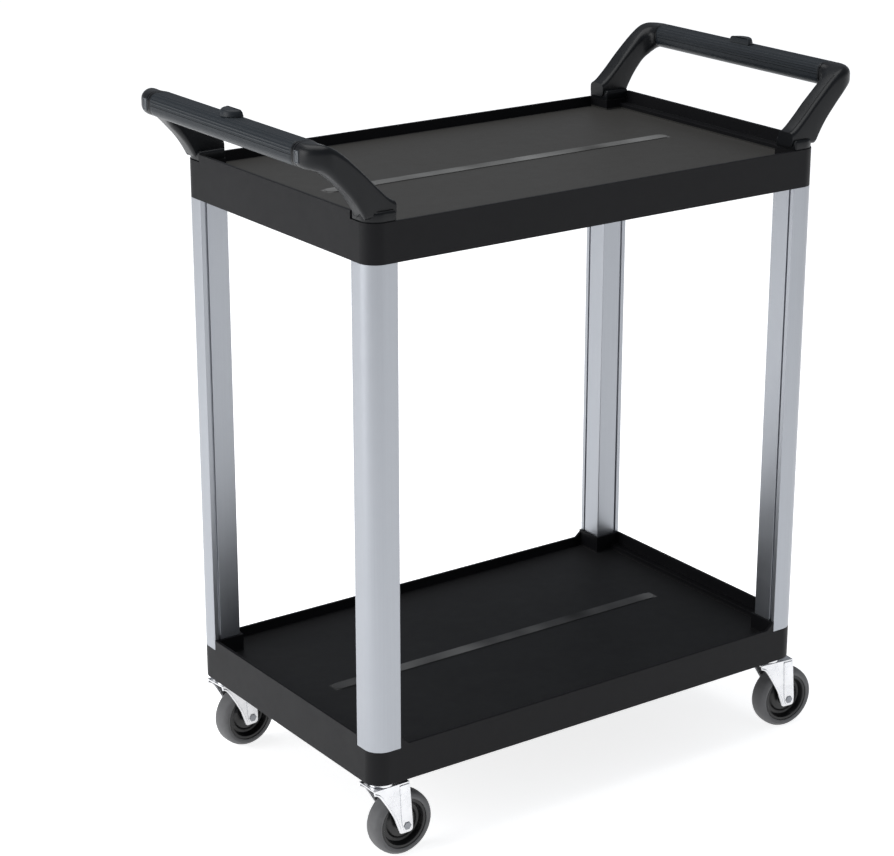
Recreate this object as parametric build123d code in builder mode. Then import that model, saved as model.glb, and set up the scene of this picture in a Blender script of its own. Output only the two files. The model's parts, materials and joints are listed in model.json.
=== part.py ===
from build123d import *
from math import cos, radians, sin
import os

# Two-tier food service trolley.
# Frame: X runs along the trolley from handle to handle, Y across it, Z up.
# The origin is on the floor under the middle of the trolley. Sizes are in millimetres.

# ---- overall sizes
overall_length = 845.0        # over the outer faces of the two handles
overall_width = 430.0         # over the long sides of the trays
overall_height = 940.0        # floor to the top of the grip clips

# ---- trays
handle_reach = 72.5           # how far each handle stands out past the trays
handle_rise = 156.0           # from the upper tray's lower edge to the top of the grip clips
tray_corner_radius = 23.0
side_wall_height = 50.0       # the two long walls
end_wall_height = 60.0        # the two short walls stand a little higher
end_wall_slope = 12.0         # lower tray: length of the slope that joins the two wall heights
wall = 4.0
floor_height = 36.0           # top of the load floor above the tray's lower edge
floor_thickness = 3.5
ledge_width = 12.0            # step inside each short wall
ledge_height = 7.0
band_width = 19.0             # raised flat band along the middle of the floor
band_rise = 1.0
band_end_margin = 78.0
rib_height = 10.0             # stiffening ribs under the floor
rib_thickness = 2.4
long_rib_count = 3
cross_rib_count = 6

# ---- posts: hollow aluminium corner sections
post_size = 40.0
post_outer_wall = 2.5
post_inner_wall = 5.0
post_groove_width = 3.0
post_groove_depth = 3.0
post_groove_offset = 6.5      # from the post's outer side face to the groove
post_seat_height = 46.0       # the lower tray's corner seat above its lower edge
socket_wall = 3.0             # tray wall around the inside of each post
peg_length = 42.0             # moulded pegs that enter the posts
peg_clearance = 0.2
socket_clearance = 0.3

# ---- handles
bar_depth = 34.0
bar_height = 30.0
bar_edge_radius = 11.0
arm_thickness = 25.0
arm_inset = 8.0               # arm's outer face inside the tray's long side
bend_outer_radius = 24.0
bend_inner_radius = 10.0
elbow_reach = 27.0            # lower edge of the arm: a point this far outside the tray's end
elbow_drop = 26.0             # and this far below the bar's underside
shoulder_reach = 2.0          # upper edge of the arm: a point this far outside the tray's end
shoulder_drop = 37.0          # and this far below the bar's top
instep_reach = 19.0           # upper edge of the foot: a point this far inside the tray's end
instep_height = 36.0          # and this far above the foot's underside
foot_reach = 42.0             # foot along the long side, measured from the tray's end
foot_tip_height = 18.0
foot_lift = 4.0               # underside of the foot above the corner seat
base_height = 22.0            # moulded block between the tray's corner and the arm
base_inset = 1.0              # block inside the tray's outer faces
base_clearance = 1.0          # between the block and the tray walls beside it
spigot_size = 24.0            # plug under each handle foot, inside the tray's corner
spigot_length = 30.0
spigot_clearance = 0.25

# ---- grips: two half shells snapped round each handle bar
grip_end_margin = 18.0        # straight bar left at each end of the grip, for the snap tab
grip_thickness = 3.0
grip_clearance = 0.2
clip_height = 8.0
clip_radius = 19.0
clip_shift = 8.5              # centre of the clip's arc inside the bar's middle line
tab_length = 9.0
tab_height = 15.0
tab_thickness = 2.0
tab_clearance = 0.2
tab_margin = 12.0             # from the end of the grip to the snap tab

# ---- handle screws
screw_inset = 21.0            # screw axis inside the tray's two outer faces
screw_diameter = 6.0
screw_head_diameter = 12.0
screw_head_height = 4.5
screw_length = 26.0
screw_clearance = 0.1
screw_end_gap = 2.0
peg_bore = 20.0
web_thickness = 7.0           # tray wall that the handle screw clamps

# ---- casters
wheel_diameter = 88.0
wheel_width = 27.0
wheel_top_gap = 14.5          # between the tyre and the fork's top plate
wheel_side_gap = 2.0          # between the tyre and each fork leg
swivel_offset = 27.0          # horizontal trail from the swivel axis to the axle
caster_inset = 26.0           # swivel axis inside the tray's two outer faces
plate_size = 38.0
plate_thickness = 2.5
plate_corner_radius = 7.6
race_radius = 17.5
race_height = 5.5
race_wall = 1.8
race_gap = 0.3
stem_chamfer = 1.0
bearing_height = 2.6
bearing_inner_radius = 9.0
fork_thickness = 2.2
fork_front = 21.0             # top plate in front of the swivel axis
fork_rear = 32.0              # top plate behind the swivel axis
fork_lip = 2.0                # straight drop at the front, before the throat curves away
throat_reach = 9.0            # throat of the leg: a point this far in front of the swivel axis
throat_drop = 12.0            # and this far below the top plate
fork_leg_width = 20.0         # at the axle
fork_leg_radius = 5.0
fork_leg_below_axle = 10.0
kingpin_diameter = 9.0
kingpin_head_diameter = 15.0
kingpin_head_height = 2.5
running_clearance = 0.05      # radial, shaft in bore
stem_diameter = 11.0
stem_length = 40.0
stem_bore_gap = 2.0           # above the stem, inside the corner column
socket_diameter = 19.6
socket_fit = 0.1              # radial, sleeve in the tray's corner bore
stem_clearance = 0.05
axle_diameter = 6.0
axle_head_across = 10.0
axle_head_height = 2.5
axle_nut_height = 3.5
axle_fit = 0.05
bush_diameter = 10.0
tyre_thickness = 10.0
hub_boss_radius = 10.0
hub_boss_gap = 0.5            # between the hub boss and each fork leg
hub_step_radius = 20.0
hub_rim_thickness = 4.0
hub_web_thickness = 7.0
hub_step_thickness = 13.0
hub_rim_recess = 1.9          # rim set in from each side of the tyre
hub_boss_draft = 1.0          # how far the boss, the step and the rim widen towards their roots
hub_step_draft = 2.0
hub_rim_draft = 3.0
tyre_shoulder_radius = 7.0

# ---- sizes that follow from the ones above
tray_length = overall_length - 2 * handle_reach
fork_top = wheel_diameter + wheel_top_gap + fork_thickness
lower_tray_bottom = fork_top + race_gap + race_height + plate_thickness
upper_tray_bottom = overall_height - handle_rise
half_length = tray_length / 2
half_width = overall_width / 2
bar_top = overall_height - clip_height
bar_bottom = bar_top - bar_height
bar_outer = overall_length / 2
bar_inner = bar_outer - bar_depth
bar_middle = bar_outer - bar_depth / 2
handle_seat = upper_tray_bottom + side_wall_height
post_bottom = lower_tray_bottom + post_seat_height
post_length = upper_tray_bottom - post_bottom
post_hollow = post_size - post_outer_wall - post_inner_wall
hollow_shift = (post_inner_wall - post_outer_wall) / 2
hollow_radius = tray_corner_radius - post_outer_wall
peg_size = post_hollow - 2 * peg_clearance
peg_centre_x = half_length - post_size / 2 + hollow_shift
peg_centre_y = half_width - post_size / 2 + hollow_shift
arm_outer = half_width - arm_inset
arm_inner = arm_outer - arm_thickness
base_size = post_size - base_inset - base_clearance
grip_length = 2 * (arm_outer - bend_outer_radius - grip_end_margin)
core_depth = bar_depth - 2 * grip_thickness - 2 * grip_clearance
core_height = bar_height - 2 * grip_thickness - 2 * grip_clearance
core_radius = bar_edge_radius - grip_thickness - grip_clearance
bar_level = bar_top - bar_height / 2
fork_gap = wheel_width + 2 * wheel_side_gap
fork_under = fork_top - fork_thickness
axle_level = wheel_diameter / 2
hub_radius = axle_level - tyre_thickness
hub_rim_width = wheel_width - 2 * hub_rim_recess
leg_outer = fork_gap / 2 + fork_thickness

ENDS = {"left": -1, "right": 1}
SIDES = {"front": -1, "rear": 1}
# how far each caster has turned from trailing along +X
CASTER_TURN = {"front_left": 0.0, "rear_left": 5.0, "front_right": -6.0, "rear_right": -14.0}

os.makedirs("parts", exist_ok=True)


def save(part, name):
    """Label one finished piece and write its STEP file."""
    part.label = name
    export_step(part, f"parts/{name}.step")


def corner_pads(level, size, height, mode=Mode.ADD):
    """Extrude four corner squares, rounded with the tray's own outer corners."""
    with BuildSketch(Plane.XY.offset(level)) as pads:
        with GridLocations(tray_length - size, overall_width - size, 2, 2):
            Rectangle(size, size)
        RectangleRounded(tray_length, overall_width, tray_corner_radius, mode=Mode.INTERSECT)
    extrude(pads.sketch, amount=height, mode=mode)


def corner_pegs(level, height):
    """Extrude the four moulded pegs that fit inside the hollow posts."""
    with BuildSketch(Plane.XY.offset(level)) as pegs:
        with GridLocations(2 * peg_centre_x, 2 * peg_centre_y, 2, 2):
            Rectangle(peg_size, peg_size)
        inset = post_outer_wall + peg_clearance
        RectangleRounded(tray_length - 2 * inset, overall_width - 2 * inset,
                         tray_corner_radius - inset, mode=Mode.INTERSECT)
    extrude(pegs.sketch, amount=height)


def corner_bores(level, diameter, height, inset):
    """Cut one round bore in each corner, inset from the tray's two outer faces."""
    with BuildSketch(Plane.XY.offset(level)) as bores:
        with GridLocations(2 * (half_length - inset), 2 * (half_width - inset), 2, 2):
            Circle(diameter / 2)
    extrude(bores.sketch, amount=height, mode=Mode.SUBTRACT)


def tray_shell(base, slope):
    """Walls, floor, ledges, band and ribs; a slope of the given length joins the two wall heights."""
    inside = (tray_length - 2 * wall, overall_width - 2 * wall, tray_corner_radius - wall)
    with BuildSketch(Plane.XY.offset(base)) as outline:
        RectangleRounded(tray_length, overall_width, tray_corner_radius)
    extrude(outline.sketch, amount=end_wall_height)
    with BuildSketch(Plane.XY.offset(base)) as underside:
        RectangleRounded(*inside)
    extrude(underside.sketch, amount=floor_height - floor_thickness, mode=Mode.SUBTRACT)
    with BuildSketch(Plane.XY.offset(base + floor_height)) as load_space:
        RectangleRounded(*inside)
    extrude(load_space.sketch, amount=end_wall_height - floor_height, mode=Mode.SUBTRACT)
    # the long walls drop to their lower height between the corners
    high = half_length - post_size
    low = high - slope
    top = base + end_wall_height
    with BuildSketch(Plane.XZ) as rim_drop:
        with BuildLine():
            Polyline((-high, top), (-low, base + side_wall_height), (low, base + side_wall_height),
                     (high, top), (high, top + wall), (-high, top + wall), close=True)
        make_face()
    extrude(rim_drop.sketch, amount=overall_width, both=True, mode=Mode.SUBTRACT)
    # a step inside each short wall
    with BuildSketch(Plane.XY.offset(base + floor_height)) as ledges:
        with GridLocations(tray_length - 2 * wall - ledge_width, 0, 2, 1):
            Rectangle(ledge_width, overall_width - 2 * wall)
        RectangleRounded(*inside, mode=Mode.INTERSECT)
    extrude(ledges.sketch, amount=ledge_height)
    # the flat band along the middle of the floor
    with BuildSketch(Plane.XY.offset(base + floor_height)) as band:
        SlotOverall(tray_length - 2 * band_end_margin, band_width)
    extrude(band.sketch, amount=band_rise)
    # ribs under the floor
    with BuildSketch(Plane.XY.offset(base + floor_height - floor_thickness - rib_height)) as ribs:
        with GridLocations(0, (overall_width - 2 * wall) / (long_rib_count + 1), 1, long_rib_count):
            Rectangle(tray_length - 2 * wall, rib_thickness)
        with GridLocations((tray_length - 2 * wall) / (cross_rib_count + 1), 0, cross_rib_count, 1):
            Rectangle(rib_thickness, overall_width - 2 * wall)
    extrude(ribs.sketch, amount=rib_height)


# ---- lower tray: corner columns carry the casters below and the posts above
with BuildPart() as lower_tray:
    tray_shell(lower_tray_bottom, end_wall_slope)
    corner_pads(lower_tray_bottom, post_size + socket_clearance + socket_wall, end_wall_height)
    corner_pads(post_bottom, post_size + socket_clearance, end_wall_height, Mode.SUBTRACT)
    corner_pegs(post_bottom, peg_length)
    corner_bores(lower_tray_bottom, socket_diameter, stem_length + stem_bore_gap, caster_inset)
    corner_bores(post_bottom, peg_bore, peg_length, screw_inset)
save(lower_tray.part, "lower_tray")

# ---- upper tray: pegs hang into the posts, and pockets take the handle spigots
with BuildPart() as upper_tray:
    tray_shell(upper_tray_bottom, 0.0)
    corner_pads(upper_tray_bottom, post_size, side_wall_height)
    corner_pads(handle_seat, post_size, end_wall_height, Mode.SUBTRACT)
    corner_pegs(upper_tray_bottom - peg_length, peg_length)
    web_top = handle_seat - spigot_length - spigot_clearance
    peg_bottom = upper_tray_bottom - peg_length
    corner_bores(peg_bottom, peg_bore, web_top - web_thickness - peg_bottom, screw_inset)
    corner_bores(web_top - web_thickness, screw_diameter + 2 * screw_clearance, web_thickness,
                 screw_inset)
    with BuildSketch(Plane.XY.offset(web_top)):
        with GridLocations(2 * (half_length - screw_inset), 2 * (half_width - screw_inset), 2, 2):
            Rectangle(spigot_size + 2 * spigot_clearance, spigot_size + 2 * spigot_clearance)
    extrude(amount=spigot_length + spigot_clearance, mode=Mode.SUBTRACT)
save(upper_tray.part, "upper_tray")

# ---- posts: square hollow sections with one rounded outer corner and two grooves inside
for end_name, end in ENDS.items():
    for side_name, side in SIDES.items():
        centre = (end * (half_length - post_size / 2), side * (half_width - post_size / 2))
        groove_x = end * (half_length - post_groove_offset - post_groove_width / 2)
        groove_y = side * (half_width - post_groove_offset - post_groove_width / 2)
        inner_x = end * (half_length - post_size)
        inner_y = side * (half_width - post_size)
        with BuildPart() as post:
            with BuildSketch(Plane.XY.offset(post_bottom)):
                with Locations(centre):
                    Rectangle(post_size, post_size)
                RectangleRounded(tray_length, overall_width, tray_corner_radius, mode=Mode.INTERSECT)
                with Locations((groove_x, inner_y)):
                    Rectangle(post_groove_width, 2 * post_groove_depth, mode=Mode.SUBTRACT)
                with Locations((inner_x, groove_y)):
                    Rectangle(2 * post_groove_depth, post_groove_width, mode=Mode.SUBTRACT)
                with BuildSketch(mode=Mode.SUBTRACT):
                    with Locations((end * peg_centre_x, side * peg_centre_y)):
                        Rectangle(post_hollow, post_hollow)
                    RectangleRounded(tray_length - 2 * post_outer_wall,
                                     overall_width - 2 * post_outer_wall,
                                     hollow_radius, mode=Mode.INTERSECT)
            extrude(amount=post_length)
        save(post.part, f"post_{side_name}_{end_name}")

# ---- handles: a bar on two arms that sweep up and outward from the tray's corners
for end_name, end in ENDS.items():
    side_view = Plane(origin=(end * half_length, 0, 0), x_dir=(end, 0, 0), z_dir=(0, -end, 0))
    crest_reach = bar_middle - half_length
    with BuildPart() as handle:
        # seen from above the handle is a U with round corners
        with BuildSketch(Plane.XY.offset(handle_seat)):
            with BuildLine():
                FilletPolyline((end * (half_length - foot_reach), -arm_outer),
                               (end * bar_outer, -arm_outer), (end * bar_outer, arm_outer),
                               (end * (half_length - foot_reach), arm_outer), radius=bend_outer_radius)
                FilletPolyline((end * (half_length - foot_reach), -arm_inner),
                               (end * bar_inner, -arm_inner), (end * bar_inner, arm_inner),
                               (end * (half_length - foot_reach), arm_inner), radius=bend_inner_radius)
                Line((end * (half_length - foot_reach), -arm_outer),
                     (end * (half_length - foot_reach), -arm_inner))
                Line((end * (half_length - foot_reach), arm_outer),
                     (end * (half_length - foot_reach), arm_inner))
            make_face()
        extrude(amount=bar_top - handle_seat)
        # seen from the side it is a band that rises from the foot to the bar
        foot_bottom = handle_seat + foot_lift
        edge_start = handle_reach - bar_edge_radius
        with BuildSketch(side_view):
            with BuildLine():
                # the lower edge leaves the foot steeply and meets the bar's underside level
                under = Spline((0, foot_bottom), (elbow_reach, bar_bottom - elbow_drop),
                               (edge_start, bar_bottom), tangents=[(0.5, 1), (1, 0)])
                RadiusArc((edge_start, bar_bottom), (handle_reach, bar_bottom + bar_edge_radius),
                          -bar_edge_radius)
                Line((handle_reach, bar_bottom + bar_edge_radius),
                     (handle_reach, bar_top - bar_edge_radius))
                RadiusArc((handle_reach, bar_top - bar_edge_radius), (edge_start, bar_top),
                          -bar_edge_radius)
                Line((edge_start, bar_top), (crest_reach, bar_top))
                # the upper edge leaves the bar level and slopes down to the tip of the foot
                over = Spline((crest_reach, bar_top),
                              (shoulder_reach, bar_top - shoulder_drop),
                              (-instep_reach, foot_bottom + instep_height),
                              (-foot_reach, foot_bottom + foot_tip_height),
                              tangents=[(-1, 0), (-1, -0.4)])
                Line(over @ 1, (-foot_reach, foot_bottom))
                Line((-foot_reach, foot_bottom), under @ 0)
            make_face()
        extrude(amount=half_width, both=True, mode=Mode.INTERSECT)
        # between the arms the bar's underside is flat
        with BuildSketch(Plane.XY.offset(handle_seat)):
            with Locations((end * (half_length + handle_reach / 2), 0)):
                Rectangle(handle_reach, 2 * arm_inner)
        extrude(amount=bar_bottom - handle_seat, mode=Mode.SUBTRACT)
        # the grip's core is slimmer than the bar
        with BuildSketch(side_view):
            with Locations((crest_reach, bar_level)):
                Rectangle(2 * bar_depth, 2 * bar_height)
                RectangleRounded(core_depth, core_height, core_radius, mode=Mode.SUBTRACT)
        extrude(amount=grip_length / 2, both=True, mode=Mode.SUBTRACT)
        # base blocks on the tray's corners, with their spigots
        base_x = end * (half_length - base_inset - base_size / 2)
        base_y = half_width - base_inset - base_size / 2
        with BuildSketch(Plane.XY.offset(handle_seat)):
            with Locations((base_x, -base_y), (base_x, base_y)):
                Rectangle(base_size, base_size)
            RectangleRounded(tray_length - 2 * base_inset, overall_width - 2 * base_inset,
                             tray_corner_radius - base_inset, mode=Mode.INTERSECT)
        extrude(amount=base_height)
        foot_x = end * (half_length - screw_inset)
        foot_y = half_width - screw_inset
        with BuildSketch(Plane.XY.offset(handle_seat - spigot_length)):
            with Locations((foot_x, -foot_y), (foot_x, foot_y)):
                Rectangle(spigot_size, spigot_size)
        extrude(amount=spigot_length)
        with BuildSketch(Plane.XY.offset(handle_seat - spigot_length)):
            with Locations((foot_x, -foot_y), (foot_x, foot_y)):
                Circle(screw_diameter / 2 + screw_clearance)
        extrude(amount=screw_length - web_thickness + screw_end_gap, mode=Mode.SUBTRACT)
        # shallow windows for the snap tabs, in the outer face just past each end of the grip
        tab_y = grip_length / 2 + tab_margin
        for side in SIDES.values():
            with Locations((end * bar_outer, side * tab_y, bar_level)):
                Box(2 * tab_thickness, tab_length + 2 * tab_clearance, tab_height + 2 * tab_clearance,
                    mode=Mode.SUBTRACT)
    save(handle.part, f"handle_{end_name}")

    for half_name, half in {"top": 1, "bottom": -1}.items():
        with BuildPart() as shell:
            with BuildSketch(side_view):
                with Locations((crest_reach, bar_level)):
                    RectangleRounded(bar_depth, bar_height, bar_edge_radius)
                    RectangleRounded(core_depth + 2 * grip_clearance, core_height + 2 * grip_clearance,
                                     core_radius + grip_clearance, mode=Mode.SUBTRACT)
                with Locations((crest_reach, bar_level - half * bar_height)):
                    Rectangle(2 * bar_depth, 2 * bar_height, mode=Mode.SUBTRACT)
            extrude(amount=grip_length / 2, both=True)
        save(shell.part, f"grip_{half_name}_{end_name}")

    with BuildPart() as clip:
        with BuildSketch(Plane.XY.offset(bar_top)):
            with Locations((end * (bar_middle - clip_shift), 0)):
                Circle(clip_radius)
            with Locations((end * (bar_middle - clip_shift - clip_radius / 2), 0)):
                Rectangle(clip_radius, 2 * clip_radius, mode=Mode.SUBTRACT)
        extrude(amount=clip_height)
    save(clip.part, f"grip_clip_{end_name}")

    with BuildPart() as tabs:
        with BuildSketch(Plane.YZ.offset(end * (bar_outer - tab_thickness))):
            with Locations((-tab_y, bar_level), (tab_y, bar_level)):
                Rectangle(tab_length, tab_height)
        extrude(amount=end * tab_thickness)
    save(tabs.part, f"snap_tabs_{end_name}")

# ---- screws that clamp the handles, driven up through the upper tray's pegs
with BuildPart() as handle_screws:
    for end in ENDS.values():
        for side in SIDES.values():
            x, y = end * (half_length - screw_inset), side * (half_width - screw_inset)
            head_top = web_top - web_thickness
            with Locations((x, y, head_top)):
                Cylinder(screw_diameter / 2, screw_length, align=(Align.CENTER, Align.CENTER, Align.MIN))
                Cylinder(screw_head_diameter / 2, screw_head_height,
                         align=(Align.CENTER, Align.CENTER, Align.MAX))
save(handle_screws.part, "handle_screws")


def caster(name, x, y, turn):
    """Write the ten pieces of one swivel caster whose swivel axis stands at x, y."""
    trail = (cos(radians(turn)), sin(radians(turn)), 0)
    across = (trail[1], -trail[0], 0)
    level = Plane(origin=(x, y, 0), x_dir=trail, z_dir=(0, 0, 1))
    side_view = Plane(origin=(x, y, 0), x_dir=trail, z_dir=across)
    axle = Plane(origin=(x + swivel_offset * trail[0], y + swivel_offset * trail[1], axle_level),
                 x_dir=trail, z_dir=across)
    # the wheel's half section stands in a plane whose horizontal axis is the radius
    wheel_section = Plane(origin=axle.origin, x_dir=trail, z_dir=(0, 0, -1))
    axle_line = Axis(axle.origin, across)
    swivel_line = Axis((x, y, 0), (0, 0, 1))

    with BuildPart() as socket:
        with BuildSketch(Plane.XY.offset(lower_tray_bottom)):
            with Locations((x, y)):
                Circle(socket_diameter / 2 - socket_fit)
                Circle(stem_diameter / 2 + stem_clearance, mode=Mode.SUBTRACT)
        extrude(amount=stem_length)
    save(socket.part, f"caster_socket_{name}")

    stem_top = lower_tray_bottom + stem_length
    race_bottom = lower_tray_bottom - plate_thickness - race_height
    race_ceiling = fork_top + bearing_height + race_gap
    head_top = fork_under - race_gap
    with BuildPart() as stem:
        with BuildSketch(Plane.XY.offset(lower_tray_bottom - plate_thickness)):
            with Locations((x, y)):
                RectangleRounded(plate_size, plate_size, plate_corner_radius)
        extrude(amount=plate_thickness)
        with BuildSketch(side_view):
            with BuildLine():
                Polyline((0, stem_top), (stem_diameter / 2 - stem_chamfer, stem_top),
                         (stem_diameter / 2, stem_top - stem_chamfer),
                         (stem_diameter / 2, lower_tray_bottom - plate_thickness),
                         (race_radius, lower_tray_bottom - plate_thickness),
                         (race_radius, race_bottom), (race_radius - race_wall, race_bottom),
                         (race_radius - race_wall, race_ceiling), (kingpin_diameter / 2, race_ceiling),
                         (kingpin_diameter / 2, head_top), (kingpin_head_diameter / 2, head_top),
                         (kingpin_head_diameter / 2 - stem_chamfer, head_top - kingpin_head_height),
                         (0, head_top - kingpin_head_height), close=True)
            make_face()
        revolve(axis=swivel_line)
    save(stem.part, f"caster_stem_{name}")

    with BuildPart() as bearing:
        with BuildSketch(Plane.XY.offset(fork_top)):
            with Locations((x, y)):
                Circle(race_radius - race_wall - race_gap)
                Circle(bearing_inner_radius, mode=Mode.SUBTRACT)
        extrude(amount=bearing_height)
    save(bearing.part, f"swivel_bearing_{name}")

    leg_bottom = axle_level - fork_leg_below_axle
    with BuildPart() as fork:
        with BuildSketch(side_view):
            with BuildLine():
                # the throat leaves the lip nearly level and ends nearly upright at the axle
                front = Spline((-fork_front, fork_under - fork_lip),
                               (-throat_reach, fork_under - throat_drop),
                               (swivel_offset - fork_leg_width / 2, leg_bottom),
                               tangents=[(0.9, -0.35), (0.35, -0.94)])
                Line(front @ 1, (swivel_offset + fork_leg_width / 2, leg_bottom))
                Line((swivel_offset + fork_leg_width / 2, leg_bottom), (fork_rear, fork_top))
                Line((fork_rear, fork_top), (-fork_front, fork_top))
                Line((-fork_front, fork_top), front @ 0)
            make_face()
            fillet(vertices().group_by(Axis.Y)[0], radius=fork_leg_radius)
        extrude(amount=leg_outer, both=True)
        with BuildSketch(side_view):
            with Locations(((fork_rear - fork_front) / 2, fork_under / 2)):
                Rectangle(2 * (fork_front + fork_rear), fork_under)
        extrude(amount=fork_gap / 2, both=True, mode=Mode.SUBTRACT)
        with BuildSketch(level.offset(fork_under)):
            Circle(kingpin_diameter / 2 + running_clearance)
        extrude(amount=fork_thickness, mode=Mode.SUBTRACT)
        with BuildSketch(axle):
            Circle(axle_diameter / 2 + axle_fit)
        extrude(amount=leg_outer, both=True, mode=Mode.SUBTRACT)
    save(fork.part, f"fork_{name}")

    with BuildPart() as bolt:
        with BuildSketch(axle.offset(leg_outer)):
            RegularPolygon(axle_head_across / 2, 6, major_radius=False)
        extrude(amount=axle_head_height)
        with BuildSketch(axle.offset(-leg_outer - axle_nut_height)):
            Circle(axle_diameter / 2)
        extrude(amount=2 * leg_outer + axle_nut_height)
    save(bolt.part, f"axle_bolt_{name}")

    with BuildPart() as nut:
        with BuildSketch(axle.offset(-leg_outer - axle_nut_height)):
            RegularPolygon(axle_head_across / 2, 6, major_radius=False)
            Circle(axle_diameter / 2 + axle_fit, mode=Mode.SUBTRACT)
        extrude(amount=axle_nut_height)
    save(nut.part, f"axle_nut_{name}")

    with BuildPart() as bush:
        with BuildSketch(axle.offset(-fork_gap / 2)):
            Circle(bush_diameter / 2)
            Circle(axle_diameter / 2 + axle_fit, mode=Mode.SUBTRACT)
        extrude(amount=fork_gap)
    save(bush.part, f"wheel_bush_{name}")

    bore = bush_diameter / 2 + running_clearance
    boss_half = fork_gap / 2 - hub_boss_gap
    rim_inner = hub_radius - hub_rim_thickness
    with BuildPart() as hub:
        with BuildSketch(wheel_section):
            for face in (1, -1):
                with BuildLine():
                    Polyline((bore, 0), (bore, face * boss_half), (hub_boss_radius, face * boss_half),
                             (hub_boss_radius + hub_boss_draft, face * hub_step_thickness / 2),
                             (hub_step_radius, face * hub_step_thickness / 2),
                             (hub_step_radius + hub_step_draft, face * hub_web_thickness / 2),
                             (rim_inner - hub_rim_draft, face * hub_web_thickness / 2),
                             (rim_inner, face * hub_rim_width / 2),
                             (hub_radius, face * hub_rim_width / 2), (hub_radius, 0), close=True)
                make_face()
        revolve(axis=axle_line)
    save(hub.part, f"hub_{name}")

    with BuildPart() as tyre:
        with BuildSketch(wheel_section):
            with Locations(((hub_radius + wheel_diameter / 2) / 2, 0)):
                Rectangle(wheel_diameter / 2 - hub_radius, wheel_width)
            fillet(vertices().group_by(Axis.X)[-1], radius=tyre_shoulder_radius)
        revolve(axis=axle_line)
    save(tyre.part, f"tyre_{name}")


for end_name, end in ENDS.items():
    for side_name, side in SIDES.items():
        place = f"{side_name}_{end_name}"
        caster(place, end * (half_length - caster_inset), side * (half_width - caster_inset),
               CASTER_TURN[place])
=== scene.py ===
# %% [markdown]
# # A two-tier service trolley
# This lesson dresses a finished engineering model of a small service trolley: two black moulded trays on
# four aluminium posts, a push handle at each end and four swivel casters. The engineering model gives every
# size and place. Here its plain solids get fine edges, ribs, pressed bends and real-looking plastics,
# metals and rubber.

# %% Load the engineering model
import sys

import json
import math

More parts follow.
